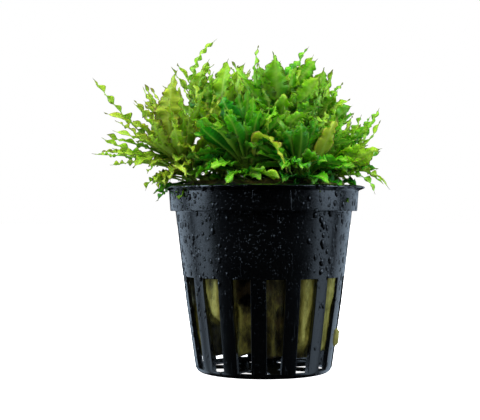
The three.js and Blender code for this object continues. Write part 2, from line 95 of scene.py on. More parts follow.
# %% Values
class Value:
    """A socket of a finish. Arithmetic on it adds Math nodes."""

    def __init__(self, finish, socket):
        self.finish = finish
        self.socket = socket

    def math(self, operation, *inputs):
        return self.finish.node("ShaderNodeMath", {"operation": operation}, dict(enumerate(inputs)))

    def __add__(self, other):
        return self.math("ADD", self, other)

    def __sub__(self, other):
        return self.math("SUBTRACT", self, other)

    def __rsub__(self, other):
        return self.math("SUBTRACT", other, self)

    def __mul__(self, other):
        return self.math("MULTIPLY", self, other)

    def __truediv__(self, other):
        return self.math("DIVIDE", self, other)

    def __pow__(self, other):
        return self.math("POWER", self, other)

    def __abs__(self):
        return self.math("ABSOLUTE", self)

    __radd__ = __add__
    __rmul__ = __mul__

    def or_higher(self, other):
        """The higher of the two at each place."""
        return self.math("MAXIMUM", self, other)

    def clamped(self):
        return self.math("MINIMUM", self.or_higher(0.0), 1.0)

    def ramp(self, low, high, to_low=0.0, to_high=1.0):
        """Smoothly from to_low, where this is low, to to_high, where it is high."""
        given = {0: self, 1: low, 2: high, 3: to_low, 4: to_high}
        return self.finish.node("ShaderNodeMapRange", {"interpolation_type": "SMOOTHSTEP"}, given)

# %% Finishes
class Finish:
    """A material under construction."""

    def __init__(self, name, **fixed):
        self.material = bpy.data.materials.new(name)
        self.material.use_nodes = True
        self.tree = self.material.node_tree
        self.shader = self.tree.nodes["Principled BSDF"]
        for socket, value in fixed.items():
            self.shader.inputs[socket.replace("_", " ")].default_value = value

    def node(self, kind, settings=None, sockets=None, output=0):
        node = self.tree.nodes.new(kind)
        for name, value in (settings or {}).items():
            if name == "stops":
                self.set_stops(node.color_ramp, value)
            else:
                setattr(node, name, value)
        for name, value in (sockets or {}).items():
            if isinstance(value, Value):
                self.tree.links.new(value.socket, node.inputs[name])
            else:
                node.inputs[name].default_value = value
        return Value(self, node.outputs[output])

    @staticmethod
    def set_stops(ramp, stops):
        while len(ramp.elements) < len(stops):
            ramp.elements.new(0.5)
        for element, (place, colour) in zip(ramp.elements, stops):
            element.position = place
            element.color = colour

    def feed(self, **links):
        for socket, value in links.items():
            self.tree.links.new(value.socket, self.shader.inputs[socket.replace("_", " ")])
        return self.material

    def place(self, scale=(1, 1, 1)):
        """Where a point of the object is, in millimetres, stretched by scale."""
        spot = self.node("ShaderNodeTexCoord", output="Object")
        stretch = tuple(s / MM for s in scale)
        return self.node("ShaderNodeVectorMath", {"operation": "MULTIPLY"}, {0: spot, 1: stretch})

    def noise(self, size, detail=2.0, scale=(1, 1, 1), rough=0.5):
        """Clouds of about that size in millimetres, from 0 to 1."""
        given = {"Vector": self.place(scale), "Scale": 1 / size, "Detail": detail, "Roughness": rough}
        return self.node("ShaderNodeTexNoise", {"noise_dimensions": "3D"}, given)

    def painted(self, name):
        """A number that the mesh carries at each of its points."""
        return self.node("ShaderNodeAttribute", {"attribute_name": name}, output="Fac")

    def mix(self, share, one, other):
        given = {0: share, 6: one, 7: other}
        return self.node("ShaderNodeMix", {"data_type": "RGBA"}, given, output=2)

    def relief(self, height, depth):
        """A normal from a height between 0 and 1, where 1 stands depth millimetres proud."""
        given = {"Height": height, "Distance": depth * MM, "Strength": 1.0}
        return self.node("ShaderNodeBump", {}, given)

# %% Colours
def colour(red, green, blue):
    """A colour given as it looks on a screen, from 0 to 255, as Blender wants it."""
    shares = (c / 255 for c in (red, green, blue))
    linear = [((c + 0.055) / 1.055) ** 2.4 if c > 10 / 255 else c / 12.92 for c in shares]
    return (*linear, 1.0)


print("bright leaf green is", [round(c, 3) for c in colour(102, 154, 30)])

# %% [markdown]
# The studio. The object stands on white, lit by soft boxes. The pot is black and glossy, so it
# shows only what it mirrors: two upright boxes make the two bluish streaks, two dimmer ones below
# the table carry them on, because the wall leans, and two behind do the same for the back. The
# rest has to be dark to it, so the white surroundings and the big box overhead, which lights the
# leaves, are left out of reflections.

# %% Studio
AIM = (0, 0, 0.06)


def soft_box(name, place, size, power, tint):
    data = bpy.data.lights.new(name, "AREA")
    data.shape = "RECTANGLE"
    data.size, data.size_y = size
    data.energy = power
    data.color = tint
    box = bpy.data.objects.new(name, data)
    box.location = place
    away = np.array(place) - np.array(AIM)
    tilt = math.acos(away[2] / np.linalg.norm(away))
    box.rotation_euler = (tilt, 0, math.atan2(away[0], -away[1]))
    bpy.context.scene.collection.objects.link(box)
    return box


COOL = (0.64, 0.81, 1.0)
WARM = (1.0, 0.98, 0.94)
soft_box("box_left", (-0.62, -0.03, 0.305), (0.42, 0.65), 4.6, COOL)
soft_box("box_left_low", (-0.62, 0.0, -0.26), (0.34, 0.48), 0.42, COOL)
soft_box("box_right", (0.611, -0.11, 0.305), (0.46, 0.65), 4.4, COOL)
soft_box("box_right_low", (0.617, -0.05, -0.26), (0.36, 0.48), 0.37, COOL)
soft_box("box_back_left", (-0.45, 0.45, 0.1), (0.5, 1.06), 1.2, COOL)
soft_box("box_back_right", (0.45, 0.5, 0.1), (0.6, 1.06), 1.2, COOL)
box_top = soft_box("box_top", (-0.05, -0.22, 0.75), (0.7, 0.6), 10.0, WARM)
box_top.visible_glossy = False

# %% Surroundings and floor
# The camera sees pure white, and the object gets the share FILL of it as soft light
FILL = 0.67
world = bpy.data.worlds.new("white")
world.use_nodes = True
web = world.node_tree
surroundings = web.nodes["Background"]
surroundings.inputs["Color"].default_value = (1, 1, 1, 1)
brightness = web.nodes.new("ShaderNodeMapRange")
brightness.inputs["To Min"].default_value = FILL
to_camera = web.nodes.new("ShaderNodeLightPath").outputs["Is Camera Ray"]
web.links.new(to_camera, brightness.inputs["Value"])
web.links.new(brightness.outputs["Result"], surroundings.inputs["Strength"])
world.cycles_visibility.glossy = False
bpy.context.scene.world = world
bpy.context.scene.view_settings.view_transform = "Standard"

FLOOR_HALF = 3.0
floor_mesh = bpy.data.meshes.new("floor")
corners = [(-1, -1), (1, -1), (1, 1), (-1, 1)]
floor_mesh.from_pydata([(x * FLOOR_HALF, y * FLOOR_HALF, 0) for x, y in corners], [], [(0, 1, 2, 3)])
floor = bpy.data.objects.new("floor", floor_mesh)
bpy.context.scene.collection.objects.link(floor)
floor.visible_glossy = False
floor.visible_diffuse = False
paper = Finish("white_paper", Roughness=0.9, Emission_Color=(1, 1, 1, 1), Emission_Strength=1.0)
paper_white = paper.mix(paper.noise(4, detail=1), (0.96, 0.96, 0.96, 1), (1, 1, 1, 1))
floor_mesh.materials.append(paper.feed(Base_Color=paper_white))
print("the floor is", 2 * FLOOR_HALF, "m wide")

# %% [markdown]
# Making pieces. A mesh is a list of corners and a list of faces. A heap gathers closed shapes and
# turns them into one object. It hides the solids that the object stands for, and stores the numbers
# that its finish reads at each corner.

# %% Pieces
class Heap:
    """Closed shapes that become one piece."""

    def __init__(self):
        self.corners, self.faces, self.paint = [], [], {}
        self.count = 0

    def add(self, corners, faces, **paint):
        self.corners.append(np.asarray(corners))
        self.faces += [tuple(c + self.count for c in face) for face in faces]
        for label, values in paint.items():
            spread = np.broadcast_to(values, len(corners))
            self.paint.setdefault(label, []).append(spread)
        self.count += len(corners)

    def piece(self, name, material, slot, replaces):
        mesh = bpy.data.meshes.new(name)
        mesh.from_pydata(np.concatenate(self.corners).tolist(), [], self.faces)
        mesh.shade_smooth()
        mesh.materials.append(material)
        for label, values in self.paint.items():
            stored = mesh.attributes.new(label, "FLOAT", "POINT")
            stored.data.foreach_set("value", np.concatenate(values).astype(np.float32))
        piece = bpy.data.objects.new(name, mesh)
        bpy.context.scene.collection.objects.link(piece)
        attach(piece, "root")
        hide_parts(*replaces)
        return piece

# %% Tubes
def tube_faces(rows, around):
    """Faces over rows of corners that close round, with a single corner before and after them."""
    first = [(0, 1 + (j + 1) % around, 1 + j) for j in range(around)]
    sides = []
    for i in range(rows - 1):
        low = 1 + i * around
        for j in range(around):
            k = (j + 1) % around
            sides.append((low + j, low + k, low + around + k, low + around + j))
    end = 1 + rows * around
    last = [(end, end - around + j, end - around + (j + 1) % around) for j in range(around)]
    return first + sides + last


print("a tube of 3 rows of 4 corners has", len(tube_faces(3, 4)), "faces")

# %% [markdown]
# Reading a leaf's course. The solid of a leaf is a string of rings with three corners: its two
# edges and the underside of its midrib. Starting from the tip, which is the only corner with
# three neighbours, ring after ring can be peeled off down to the foot. That gives the fine leaf
# its course, its width, the way it faces and which edge each wave lifts.

# %% Rings of a solid
def corners_of(node):
    """Corners of a solid, each once, and the set of neighbours of each."""
    numbers, of_vertex = {}, []
    for vertex in node.data.vertices:
        place = tuple(round(c * 1e6) for c in vertex.co)
        of_vertex.append(numbers.setdefault(place, len(numbers)))
    near = [set() for _ in numbers]
    for polygon in node.data.polygons:
        ring = {of_vertex[v] for v in polygon.vertices}
        for corner in ring:
            near[corner] |= ring - {corner}
    return np.array(list(numbers)) * 1e-6, near


def is_tip(corner, near):
    around = near[corner]
    return len(around) == 3 and all(len(near[other] & around) == 2 for other in around)


def peeled(tip, near):
    """Rings of three from the tip down."""
    rings = []
    seen = {tip}
    ring = near[tip]
    while len(ring) == 3:
        rings.append(sorted(ring))
        seen = seen | ring
        ring = set().union(*(near[corner] for corner in ring)) - seen
    return rings


print("a solid leaf has", len(corners_of(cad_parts["leaf_centre_1"])[0]), "corners")

# %% Sides of a ring
def unit(vectors):
    return vectors / np.maximum(np.linalg.norm(vectors, axis=-1, keepdims=True), 1e-12)


def facing(ring, ahead):
    left, right, under = ring
    return np.dot(np.cross(right - left, under - left), ahead) > 0


def span(ring):
    return np.linalg.norm(ring[0] - ring[1])


def in_order(rings, tip):
    """Each ring as left edge, right edge and underside. Rings run from the foot to the tip."""
    middles = [ring.mean(0) for ring in rings] + [tip]

    def orders(i):
        ahead = middles[i + 1] - middles[i]
        turns = [rings[i][list(order)] for order in itertools.permutations(range(3))]
        return [ring for ring in turns if facing(ring, ahead)]

    # The longest side of a ring runs from edge to edge, and the widest ring shows it best
    flattest = [max(orders(i), key=span) for i in range(len(rings))]
    widest = int(np.argmax([span(ring) for ring in flattest]))
    placed = {widest: flattest[widest]}
    for step in (1, -1):
        i = widest + step
        while 0 <= i < len(rings):
            moved = placed[i - step] + (rings[i].mean(0) - placed[i - step].mean(0))
            placed[i] = min(orders(i), key=lambda ring: np.linalg.norm(ring - moved, axis=1).sum())
            i += step
    return np.array([placed[i] for i in range(len(rings))])


corners, near = corners_of(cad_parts["leaf_centre_1"])
tip = next(corner for corner in range(len(corners)) if is_tip(corner, near))
rings = in_order([corners[ring] for ring in reversed(peeled(tip, near))], corners[tip])
print("its rings are", [round(span(ring) / MM, 1) for ring in rings], "mm wide")

# %% [markdown]
# A course is what a leaf is drawn from. At each station (the foot, every ring and the tip) it
# knows the middle of the blade, its upper side, half its width and how high its edge waves. The
# fine leaf needs many more rows than the solid has rings, so a smooth line runs through them.

# %% Courses of the leaves
CHANNEL = 0.25
FOOT_PLACE = -0.35
TIP_HALF = 0.03 * MM


def stations(count):
    """Places of the foot, of count rings and of the tip, counted in rings."""
    return np.array([FOOT_PLACE, *range(count), count + FOOT_PLACE])


class Course:
    """Where a leaf runs. Its length gives the number of its lobes."""

    def __init__(self, middle, up, half, wave, length):
        self.at = stations(len(middle) - 2)
        self.middle = middle
        self.up = up
        self.half = half
        self.wave = wave
        self.length = length

    def through(self, values, x):
        """A smooth line through the stations' values."""
        slope = np.gradient(values, self.at, axis=0)
        i = np.clip(np.searchsorted(self.at, x) - 1, 0, len(self.at) - 2)
        step = self.at[i + 1] - self.at[i]
        t = (x - self.at[i]) / step
        shape = (-1,) + (1,) * (values.ndim - 1)
        t, step = t.reshape(shape), step.reshape(shape)
        return (
            (2 * t**3 - 3 * t**2 + 1) * values[i] + (t**3 - 2 * t**2 + t) * step * slope[i]
            + (3 * t**2 - 2 * t**3) * values[i + 1] + (t**3 - t**2) * step * slope[i + 1]
        )


print("stations of a leaf of four rings:", stations(4).tolist())

# %% Courses of the solids
def solid_course(rings, foot, tip):
    """The course of a leaf whose solid has these rings."""
    left, right, under = rings.transpose(1, 0, 2)
    edges = (left + right) / 2
    up = unit(edges - under)
    across = left - right
    lift = (across * up).sum(1) / 2
    across = across - (across * up).sum(1)[:, None] * up
    half = np.linalg.norm(across, axis=1) / 2
    middle = np.array([foot, *(edges - CHANNEL * half[:, None] * up), tip])
    length = np.linalg.norm(np.diff(middle, axis=0), axis=1).sum()
    half = np.array([0.8 * half[0], *half, TIP_HALF])
    wave = np.array([0, *np.abs(lift), 0.3 * abs(lift[-1])])
    return Course(middle, np.array([up[0], *up, up[-1]]), half, wave, length)


def loose_course(node, stem):
    """The course of a solid that is one leaf: its foot is the end near the stem."""
    corners, near = corners_of(node)
    ends = [corner for corner in range(len(corners)) if is_tip(corner, near)]
    ends.sort(key=lambda corner: np.linalg.norm(corners[corner] - stem))
    foot, tip = ends[0], ends[-1]
    rings = [corners[ring] for ring in reversed(peeled(tip, near))]
    return solid_course(in_order(rings, corners[tip]), corners[foot], corners[tip])


def fused_courses(node):
    """The courses of all leaves of a solid in which they are one with their stem."""
    corners, near = corners_of(node)
    found = []
    for tip in range(len(corners)):
        if is_tip(tip, near):
            base, *rings = [corners[ring] for ring in reversed(peeled(tip, near))]
            if len(rings) > 2:
                found.append(solid_course(in_order(rings, corners[tip]), base.mean(0), corners[tip]))
    return found


print("leaves grown into one shoot:", len(fused_courses(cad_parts["shoot_centre"])))

# %% Crowns
# Where each crown's stem leaves the wool, and its head, in millimetres
CROWNS = {
    "left": ((-17.5, -4, 49.2), (-22, -5, 56.5)),
    "centre": ((-4, -9, 49.2), (-5.2, -12, 57.8)),
    "front_right": ((8.5, -12, 49.2), (9.5, -14, 54.1)),
    "right": ((15.5, -2, 49.2), (17.1, -3, 55)),
    "middle": ((4, -2, 49.2), (3.5, -4, 65)),
    "back_left": ((-10, 6, 49.2), (-12, 7, 59)),
    "back_right": ((9, 8, 49.2), (10.5, 9, 60)),
    "back": ((-2, 15, 49.2), (-2.5, 17, 57)),
}
LOOSE_LEAVES = 6
courses = {}
for crown, (root, head) in CROWNS.items():
    stem = np.array(head) * MM
    loose = [loose_course(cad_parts[f"leaf_{crown}_{n + 1}"], stem) for n in range(LOOSE_LEAVES)]
    courses[crown] = (loose, fused_courses(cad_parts[f"shoot_{crown}"]))
for crown, (loose, fused) in courses.items():
    lengths = [round(course.length / MM) for course in loose + fused]
    print(crown, len(loose), "+", len(fused), "leaves, lengths", lengths)

# %% [markdown]
# The blade. A real one is paper thin, has a pale channel over its midrib, and its edge is longer
# than its middle, which is why it ruffles: each half bead the left edge rises while the right
# one sinks. The blade could be a flat sheet with a solidify modifier, but here it is a closed
# flat tube, so that its midrib can stand out below and its tip can run out to a thread.

# %% Rows of a blade
LOBE_LENGTH = 1.5 * MM
ROWS_PER_LOBE = 5
PLAIN_SHARE = 0.3
PLAIN_ROWS = 8
STRAP_WIDTH = 0.95
SLIMMEST_HALF = 0.12 * MM
TWIST = 0.9


def smooth(x, low, high):
    t = np.clip((x - low) / (high - low), 0, 1)
    return t * t * (3 - 2 * t)


def row_shares(lobes):
    """Where rows lie along a leaf: a few on its plain foot, and then some to each lobe."""
    outer_rows = int((1 - PLAIN_SHARE) * lobes * ROWS_PER_LOBE)
    plain = np.linspace(0.01, PLAIN_SHARE, PLAIN_ROWS)[:-1]
    return np.concatenate([plain, np.linspace(PLAIN_SHARE, 0.99, outer_rows)])


def row_frames(course, share, x, luck):
    """The middle of each row and the ways ahead, up and left there, with a slow twist."""
    middle = course.through(course.middle, x)
    ahead = unit(np.gradient(middle, axis=0))
    up = course.through(course.up, x)
    up = unit(up - (up * ahead).sum(1)[:, None] * ahead)
    left = np.cross(up, ahead)
    twist = (TWIST * smooth(share, 0.3, 1.0) * math.sin(luck))[:, None]
    up, left = np.cos(twist) * up + np.sin(twist) * left, np.cos(twist) * left - np.sin(twist) * up
    return middle, ahead, up, left


def half_widths(course, share, x, wide):
    """Half the width of each row: slim at the foot, widest past the middle, blunt near the tip."""
    half = wide * np.maximum(course.through(course.half, x), 0) * (0.42 + 0.58 * smooth(share, 0.0, 0.5))
    blunt = 0.5 * half.max() * smooth(share, 0.5, 0.7) * smooth(share, 0.96, 0.9)
    return np.maximum(np.maximum(half, blunt), SLIMMEST_HALF)[:, None]


print("a lobe is", round(LOBE_LENGTH / MM, 1), "mm long and has", ROWS_PER_LOBE, "rows")

# %% Edge of a blade
# Low down, the blade is a plain strap. Further up its edge has round lobes with sharp notches
# between them, and near the tip the lobes take turns, like beads on a thread.
THREAD_HALF = 0.07 * MM
NOTCH = 0.56 * MM
BEAD_WIDTH = 1.05 * MM
BEAD_NECK = 0.14 * MM


def lobed(half, along, side, lobes, turns, crinkle, phase):
    """Half the width out to the edge, and the beat in which the two edges take turns."""
    turn = math.pi * lobes * along + 1.1 * np.sin(5 * along + phase[2])
    turn = turn + 0.8 * crinkle * np.sin(11 * along + side * phase[3])
    beat = -np.cos(turn)
    round_lobe = np.abs(np.cos(turn + 0.5 * side * phase[7])) ** 0.6
    uneven = 1 + 0.16 * crinkle * np.sin(13 * along + side * phase[0])
    edge = half * uneven - NOTCH * crinkle * (1 - round_lobe)
    bead = np.clip(0.5 + 0.5 * beat * side, 0, 1) ** 0.6
    end = smooth(along, 1.0, 0.9)
    beads_edge = (BEAD_NECK + BEAD_WIDTH * bead * end * (1.1 - 0.4 * along)) * uneven
    width = (1 - turns) * edge + turns * np.minimum(beads_edge, 1.6 * half)
    return np.maximum(width * smooth(along, 0.985, 0.93), THREAD_HALF), beat


print("a bead stands out by up to", round((BEAD_NECK + BEAD_WIDTH) / MM, 2), "mm")

# %% Blade
BLADE_THICKNESS = 0.16 * MM
MIDRIB_WIDTH = 0.5 * MM
MIDRIB_DEPTH = 0.4 * MM
GROOVE_DEPTH = 0.1 * MM
PUCKER_DEPTH = 0.07 * MM
SWAY = 0.7


def blade(course, seed, beaded, columns, wide, crinkled):
    """Corners, faces and painted numbers of one leaf.

    Its edge is crinkled past the share crinkled of its length, and a string of beads past the
    share beaded.
    """
    dice = random.Random(seed)
    phase = [dice.uniform(0, 2 * math.pi) for _ in range(8)]
    start = beaded + dice.uniform(-0.12, 0.12)
    lobes = course.length / LOBE_LENGTH
    share = row_shares(lobes)
    along = share[:, None]
    x = course.at[0] + (course.at[-1] - course.at[0]) * share
    middle, ahead, up, left = row_frames(course, share, x, phase[6])
    half = half_widths(course, share, x, wide)
    wave = np.maximum(course.through(course.wave, x), 0)

    # Columns run from the left edge (1) to the right one (-1) and are closest over the midrib
    places = np.linspace(1, -1, columns)[None, :]
    side = np.sign(places)
    t = np.abs(places) ** 1.35
    crinkle = smooth(along, crinkled, crinkled + 0.3)
    turns = smooth(along, start, start + 0.25)
    width, beat = lobed(half, along, side, lobes, turns, crinkle, phase)
    lateral = width * (side * t)

    # The middle line sways a little, most at the tip
    sway = 0.06 * turns[:, 0] * beat[:, columns // 2] + SWAY * share**2 * np.sin(4.5 * share + phase[4])
    middle = middle + (sway * MM)[:, None] * left
    middle = middle + (SWAY * MM * share**2 * np.sin(5.5 * share + phase[5]))[:, None] * up

    # How far the surface rises: a channel, waves and ruffles of the edge, puckers between veins
    ruffle = np.sin(0.55 * math.pi * lobes * along + side * phase[1])
    rise = CHANNEL * width * t**1.2
    rise = rise + wave[:, None] * crinkle * t**1.6 * (0.9 * beat * side + 0.75 * ruffle)
    vein = np.cos(2 * math.pi * (1.6 * lobes * along - 1.1 * t) + phase[5])
    pucker = PUCKER_DEPTH * vein * np.sin(math.pi * np.minimum(1, 1.15 * t)) * crinkle
    rise = rise + pucker * np.minimum(1, half / (1.2 * MM))

    # The upper side with its groove and the underside with its midrib, joined to a flat tube
    rib = np.exp(-((lateral / (0.5 * MIDRIB_WIDTH)) ** 2))
    thin = 1 - 0.55 * along
    groove = -GROOVE_DEPTH * rib * thin
    below = BLADE_THICKNESS * thin * (1 - 0.5 * t**4) + MIDRIB_DEPTH * rib * (1 - 0.85 * along)
    surface = middle[:, None, :] + lateral[:, :, None] * left[:, None, :]
    top = surface + (rise + groove)[:, :, None] * up[:, None, :]
    bottom = surface + (rise - below)[:, :, None] * up[:, None, :]
    ring = np.concatenate([top, bottom[:, -2:0:-1]], axis=1)
    first = middle[0] - 0.3 * MM * ahead[0]
    last = middle[-1] + 0.5 * MM * ahead[-1]
    corners = np.concatenate([first[None], ring.reshape(-1, 3), last[None]])

    def spread(values):
        values = np.broadcast_to(values, (len(share), columns))
        looped = np.concatenate([values, values[:, -2:0:-1]], axis=1)
        return np.concatenate([looped[0, :1], looped.reshape(-1), looped[-1, :1]])

    looks = {"across": t, "along": along, "vein": 0.5 + 0.5 * vein, "rib": rib}
    paint = {label: spread(values) for label, values in looks.items()}
    return corners, tube_faces(len(share), ring.shape[1]), paint


print("one large leaf has", len(blade(courses["centre"][0][0], 1, 0.9, 9, 1.0, 0.5)[0]), "corners")

# %% [markdown]
# Leaf finish. The green changes in three ways: from leaf to leaf with age, and darker on leaves
# that lie low or inside, which is painted shade; along a leaf from its pale foot over a deep green
# to a brighter tip, which is painted shade low down and painted light towards the tip; and over its
# width, where the midrib and the side veins are paler than the tissue between them. Old leaves turn
# olive, and their edges brown. The blade is so thin that light goes through it, which subsurface
# scattering stands for.

# %% Leaf finish
def leaf_finish(name):
    leaf = Finish(
        name, Specular_IOR_Level=0.28, Subsurface_Weight=0.5, Subsurface_Radius=(0.5, 0.9, 0.1),
        Subsurface_Scale=0.0008,
    )
    leaf.shader.subsurface_method = "BURLEY"
    numbers = ("along", "across", "rib", "vein", "tone", "olive")
    along, across, rib, vein, tone, olive = (leaf.painted(name) for name in numbers)
    cloud = leaf.noise(3.0, detail=3)
    speck = leaf.noise(0.5, detail=2)
    # Tone, with painted light along the leaf: darker low down, as painted shade inside the crown, and
    # brighter towards the tip, as painted light coming through it
    tone_and_light_along = tone + (along - 0.55) * 0.8
    shade = (tone_and_light_along + (cloud - 0.5) * 0.5 + (vein - 0.5) * 0.12 + (speck - 0.5) * 0.2).clamped()
    green = leaf.node("ShaderNodeValToRGB", {"stops": [
        (0.0, colour(6, 76, 3)), (0.3, colour(24, 116, 5)),
        (0.65, colour(78, 152, 10)), (1.0, colour(130, 176, 34)),
    ]}, {0: shade})
    old = leaf.mix(shade, colour(94, 112, 12), colour(154, 168, 48))
    tissue = leaf.mix((olive * (0.55 + cloud * 0.7)).clamped(), green, old)
    pale = leaf.mix(shade, colour(104, 146, 44), colour(166, 190, 86))
    ribbed = leaf.mix((rib * (1.1 - along * 0.7)).clamped(), tissue, pale)
    footed = leaf.mix(along.ramp(0.0, 0.3, 0.6, 0.0), ribbed, pale)
    rim = across.ramp(0.8, 1.0) * (0.15 + olive) * (0.2 + speck) * 1.1
    edged = leaf.mix(rim.clamped(), footed, colour(118, 96, 36))
    ended = leaf.mix(along.ramp(0.92, 1.0) * 0.8, edged, colour(60, 56, 20))
    bumps = leaf.relief(leaf.noise(0.9, detail=1), 0.06)
    return leaf.feed(Base_Color=ended, Roughness=0.48 + (cloud - 0.5) * 0.3, Normal=bumps)


leaf_green = leaf_finish("leaf_green")
print("leaf finish has", len(leaf_green.node_tree.nodes), "nodes")

# %% [markdown]
# Each of the largest leaves is a piece by itself. How green it is depends on its crown and on
# chance: the left crown is olive, the middle ones are fresh. The leaves that the photograph shows
# well have looks of their own, and two dark ones of the centre crown carry painted shade.

# %% Loose leaves
TONES = {
    "left": (0.55, 0.75), "centre": (0.3, 0.08), "front_right": (0.3, 0.12), "right": (0.5, 0.25),
    "middle": (0.46, 0.25), "back_left": (0.52, 0.45), "back_right": (0.42, 0.25), "back": (0.4, 0.3),
}


def age(crown, painted_shade=0.0):
    """A leaf's tone and how olive it is, drawn about those of its crown and lowered by painted shade for
    leaves that lie low or inside.
    """
    tone, olive = TONES[crown]
    return {
        "tone": min(1, max(0, tone - painted_shade + chance.uniform(-0.2, 0.2))),
        "olive": min(1, max(0, olive - painted_shade + chance.uniform(-0.25, 0.25))),
    }


BEADED = {"left": 0.5, "right": 0.6, "back_left": 0.6}
WIDE = {"middle": 1.15, "back": 1.2, "back_left": 1.1, "back_right": 1.15}
SMOOTH_CROWNS = ("centre", "front_right")

# Leaves that the photograph shows well: tone, olive, width and where their beads start. The first
# two of the centre crown are painted dark, as painted shade on the backs of leaves in shadow
KNOWN = {
    ("centre", 1): (0.1, 0.0, 1.1, 0.9), ("centre", 2): (0.08, 0.0, 1.0, 0.85),
    ("centre", 3): (0.28, 0.05, 0.85, 0.85), ("centre", 4): (0.3, 0.05, 0.85, 0.8),
    ("centre", 5): (0.7, 1.0, 1.2, 0.9), ("centre", 6): (0.6, 0.2, 1.0, 0.8),
    ("front_right", 1): (0.7, 0.9, 0.85, 0.75), ("left", 1): (0.5, 0.6, 0.75, 0.36),
    ("left", 2): (0.55, 0.4, 0.7, 0.4), ("left", 3): (0.5, 0.3, 0.6, 0.8),
    ("left", 6): (0.6, 0.95, 1.15, 0.75), ("right", 1): (0.7, 0.3, 1.1, 0.75),
    ("right", 2): (0.4, 0.6, 0.6, 0.7), ("back_left", 1): (0.6, 0.4, 0.7, 0.3),
    ("back_left", 3): (0.6, 0.3, 1.1, 0.75), ("middle", 5): (0.6, 0.2, 1.0, 0.72),
}
seeds = itertools.count(1)
for crown, (loose, _) in courses.items():
    for number, course in enumerate(loose, 1):
        looks = age(crown)
        wide, beaded = WIDE.get(crown, STRAP_WIDTH), BEADED.get(crown, 0.75)
        if (crown, number) in KNOWN:
            looks["tone"], looks["olive"], wide, beaded = KNOWN[crown, number]
        crinkled = 0.48 if crown in SMOOTH_CROWNS and beaded > 0.72 else 0.22
        corners, faces, paint = blade(course, next(seeds), beaded, 9, wide, crinkled)
        heap = Heap()
        heap.add(corners, faces, **paint, **looks)
        name = f"leaf_{crown}_{number}"
        heap.piece(f"blade_{crown}_{number}", leaf_green, "leaf", (name,))
print("largest leaves:", sum(len(loose) for loose, _ in courses.values()))

# %% [markdown]
# A stem is a short round stalk, planted in the wool, with a bud of folded young leaves on top. It
# could be a curve with a bevel, but a tapered tube of rings takes the bud's form as well.

# %% Stem
STEM_SIDES = 16
STEM_PLANTED = 6 * MM
BUD_HEIGHT = 3.6 * MM


def stem_shape(root, head):
    """A round stem with its bud."""
    root, head = np.array(root) * MM, np.array(head) * MM
    ahead = unit(head - root)
    height = np.linalg.norm(head - root)
    outline = [
        (0.6, -STEM_PLANTED), (1.0, -0.9 * STEM_PLANTED), (1.08, 0), (0.98, 0.5 * height), (0.86, height),
        (1.05, height + 0.6 * MM), (1.15, height + 1.3 * MM), (0.95, height + 2.1 * MM),
        (0.6, height + 2.9 * MM), (0.2, height + 3.5 * MM),
    ]
    side = unit(np.cross(ahead, [0, 1, 0]))
    other = np.cross(ahead, side)
    turn = np.arange(STEM_SIDES) * 2 * math.pi / STEM_SIDES
    round_it = np.cos(turn)[:, None] * side + np.sin(turn)[:, None] * other
    rings = [root + up * ahead + radius * MM * round_it for radius, up in outline]
    low = root - STEM_PLANTED * ahead
    high = root + (height + BUD_HEIGHT) * ahead
    return np.concatenate([[low], *rings, [high]]), tube_faces(len(rings), STEM_SIDES)


print("a stem has", len(stem_shape(*CROWNS["centre"])[0]), "corners")

# %% [markdown]
# More leaves. A real crown has about forty, and its solids give half of them. The first kind
# added is a near copy of a leaf that is there, turned a little about the crown's head. The others
# run free, where the real plant has them: straps like the ribs of a fan on the viewer's side,
# young leaves that stand up, a collar of smooth ones that arch over, and a skirt of short old
# ones that hides the stem. Geometry Nodes could scatter copies of one leaf, but copies show.

# %% Free leaves
def turned(course, pivot, spin, nod, size):
    """The course spun about the upright line through pivot, nodded up and made shorter."""
    reach = course.middle[-1] - pivot
    level = Vector((reach[1], -reach[0], 0)).normalized()
    turn = np.array(Matrix.Rotation(nod, 3, level) @ Matrix.Rotation(spin, 3, "Z"))
    middle = pivot + (course.middle - pivot) @ turn.T * size
    slimmer = 0.4 + 0.6 * size
    return Course(middle, course.up @ turn.T, course.half * slimmer, course.wave * slimmer, course.length)


def free_course(foot, heading, rise, droop, length, width):
    """A course that leaves foot at the angle rise and bends down by droop on its way."""
    count = max(4, round(length / 2.4))
    share = (stations(count) - FOOT_PLACE) / count
    angle = rise - droop * share
    level = np.array([math.sin(heading), -math.cos(heading), 0])
    upright = np.array([0, 0, 1])
    ahead = np.cos(angle)[:, None] * level + np.sin(angle)[:, None] * upright
    steps = 0.5 * (ahead[1:] + ahead[:-1]) * np.diff(share)[:, None] * length * MM
    middle = np.array(foot) * MM + np.concatenate([np.zeros((1, 3)), np.cumsum(steps, axis=0)])
    up = np.cos(angle)[:, None] * upright - np.sin(angle)[:, None] * level
    half = 0.5 * width * MM * np.interp(share, [0, 0.15, 0.6, 0.85, 1], [0.35, 0.5, 1, 0.6, 0.03])
    wave = 0.7 * MM * np.interp(share, [0, 0.2, 0.5, 1], [0, 0.2, 1, 0.5])
    # All have as many lobes as one large leaf, so the lobes of short ones are finer
    return Course(middle, up, half, wave, courses["centre"][0][0].length)


def drawn_course(foot, heading, rises, droops, lengths, widths):
    """A free course whose angles, length and width lie between two limits each."""
    rise = math.radians(chance.uniform(*rises))
    droop = math.radians(chance.uniform(*droops))
    return free_course(foot, heading, rise, droop, chance.uniform(*lengths), chance.uniform(*widths))


print("a free leaf of 15 mm has", len(free_course((0, 0, 0), 0, 1, 0.5, 15, 5).at), "stations")

# %% Kinds of small leaves
# Straps of the front crowns: how many, how far to the left and to the right of upright they go in
# degrees, their least and most length, and their width
FANS = {
    "centre": (12, -82, 66, 14, 19, 3.8), "front_right": (11, -58, 80, 13, 18, 3.8),
    "left": (11, -82, 22, 19, 26, 2.9),
}

